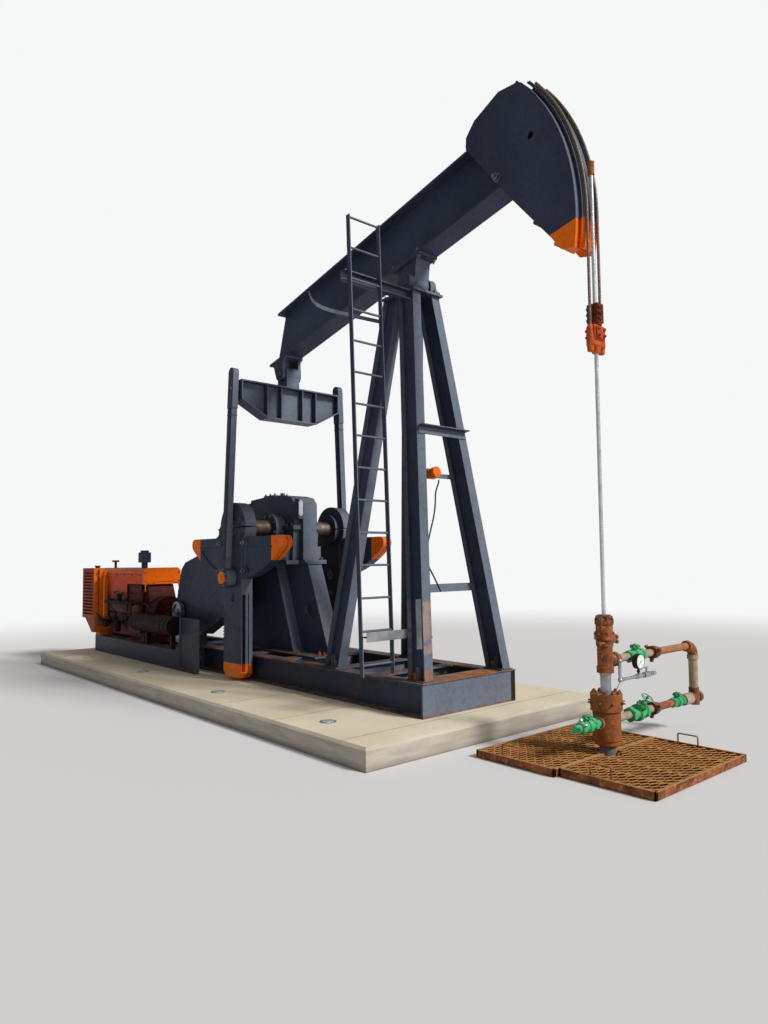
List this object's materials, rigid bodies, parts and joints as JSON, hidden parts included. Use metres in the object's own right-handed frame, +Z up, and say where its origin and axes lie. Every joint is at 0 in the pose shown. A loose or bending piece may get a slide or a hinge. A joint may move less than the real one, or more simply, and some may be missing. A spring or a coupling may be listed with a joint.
{
  "type": "beam pumping unit with wellhead",
  "caption": "Walking-beam pumpjack on a concrete plinth, with its engine, gear reducer, crank counterweights, ladder, horsehead and wellhead.",
  "frame": {"origin": "on the ground in the middle plane, straight under the saddle pivot of the walking beam", "axes": "+X from the pivot to the well, -Y to the ladder's side, +Z up"},
  "size_m": [9.88, 3.185, 5.8812],
  "materials": {
    "dark_paint": "weathered satin",
    "orange_paint": "weathered satin",
    "rusty_iron": "rusty",
    "green_paint": "gloss",
    "bare_steel": "worn",
    "wire_rope": "greased",
    "concrete": "rough"
  },
  "bodies": {
    "base": {"plinth": "concrete", "plinth_lamps": "bare_steel", "skid_runner_near": "dark_paint", "skid_runner_far": "dark_paint", "skid_cross_members": "dark_paint", "post_leg_front_near": "dark_paint", "post_leg_front_far": "dark_paint", "post_leg_rear_near": "dark_paint", "post_leg_rear_far": "dark_paint", "post_braces": "dark_paint", "post_top_plate": "dark_paint", "saddle_bearings": "dark_paint", "ladder": "dark_paint", "ladder_platform": "dark_paint", "reducer_pedestal": "dark_paint", "gear_reducer": "dark_paint", "belt_guard": "dark_paint", "guard_post": "dark_paint", "engine_skid": "dark_paint", "engine_block": "rusty_iron", "engine_hood": "orange_paint", "radiator": "orange_paint", "air_cleaner": "dark_paint", "air_tank": "dark_paint", "pulley": "bare_steel", "switch_box": "orange_paint", "casing_head": "rusty_iron", "tubing_nipple": "bare_steel", "pumping_tee": "rusty_iron", "stuffing_box": "rusty_iron", "flow_line": "rusty_iron", "flow_valve": "green_paint", "casing_line": "rusty_iron", "casing_valve": "green_paint", "small_valve": "green_paint", "blind_valve": "green_paint", "bleed_line": "bare_steel", "pressure_gauge": "bare_steel", "cellar_cover_rear": "rusty_iron", "cellar_cover_front": "rusty_iron"},
    "beam": {"walking_beam": "dark_paint", "horsehead": "dark_paint", "head_lines": "wire_rope", "saddle_bracket": "dark_paint", "tail_bracket": "dark_paint"},
    "pitman_frame": {"equalizer": "dark_paint", "pitman_near": "dark_paint", "pitman_far": "dark_paint"},
    "crank_set": {"crank_shaft": "bare_steel", "crank_near": "dark_paint", "crank_far": "dark_paint", "counterweights_near": "dark_paint", "counterweights_far": "dark_paint", "wrist_pins": "bare_steel"},
    "carrier": {"carrier_bar": "orange_paint", "rod_clamp": "dark_paint", "polished_rod": "bare_steel", "bridle_lines": "wire_rope"}
  },
  "joints": [
    {"name": "beam_rock", "type": "hinge", "parent": "base", "child": "beam", "pos_m": [0, 0, 4.46], "axis": [0, 1, 0], "range_deg": [0, 28.18]},
    {"name": "equalizer_swing", "type": "hinge", "parent": "beam", "child": "pitman_frame", "pos_m": [-2.4204, 0, 3.9804], "axis": [0, 1, 0], "range_deg": [-27.2, 0]},
    {"name": "crank_turn", "type": "hinge", "parent": "base", "child": "crank_set", "pos_m": [-2.4204, 0, 2], "axis": [0, 1, 0], "range_deg": [0, 181.2]},
    {"name": "rod_stroke", "type": "slide", "parent": "base", "child": "carrier", "axis": [0, 0, -1], "range_m": [0, 1.04], "deforming": ["bridle_lines"]}
  ],
  "couplings": [
    {"joint": "equalizer_swing", "follows": "beam_rock", "ratio": -0.9615},
    {"joint": "crank_turn", "follows": "beam_rock", "ratio": 6.426},
    {"joint": "rod_stroke", "follows": "beam_rock", "m_per_rad": 2.11}
  ]
}
